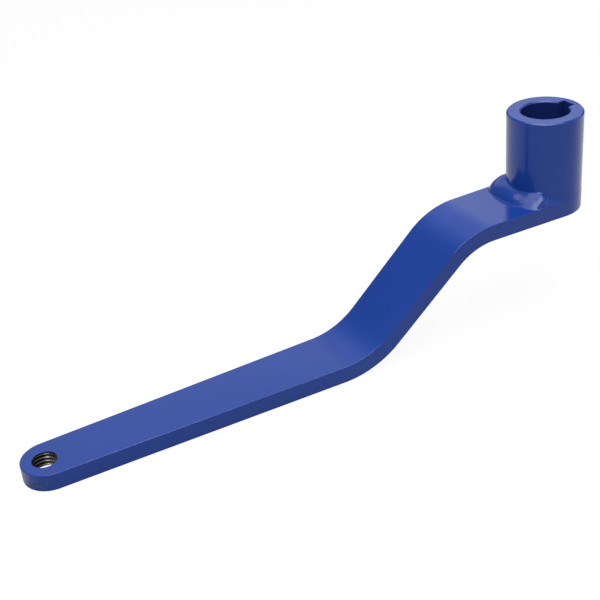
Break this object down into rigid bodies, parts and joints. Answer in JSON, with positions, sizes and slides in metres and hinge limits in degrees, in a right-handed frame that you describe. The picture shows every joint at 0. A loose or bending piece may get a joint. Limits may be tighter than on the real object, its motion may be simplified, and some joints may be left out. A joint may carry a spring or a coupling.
{
  "type": "crank handle",
  "caption": "Joggled, tapered flat crank arm with a keyed round hub welded on its wide end and a tapped hole for a grip at its narrow end.",
  "frame": {"origin": "on the hub's bore axis, in the plane where the hub stands on the arm", "axes": "+Z along the bore axis, from the arm towards the hub's open end; +X from the hub towards the grip end"},
  "size_m": [0.323, 0.0408, 0.106],
  "materials": {
    "arm_paint": "blue semi-gloss paint over steel; the grip hole's thread is bare steel",
    "hub_paint": "blue semi-gloss paint over steel",
    "weld_paint": "blue semi-gloss paint over a smooth weld bead"
  },
  "bodies": {
    "root": {"arm": "arm_paint", "hub": "hub_paint", "weld_bead": "weld_paint"}
  },
  "joints": []
}
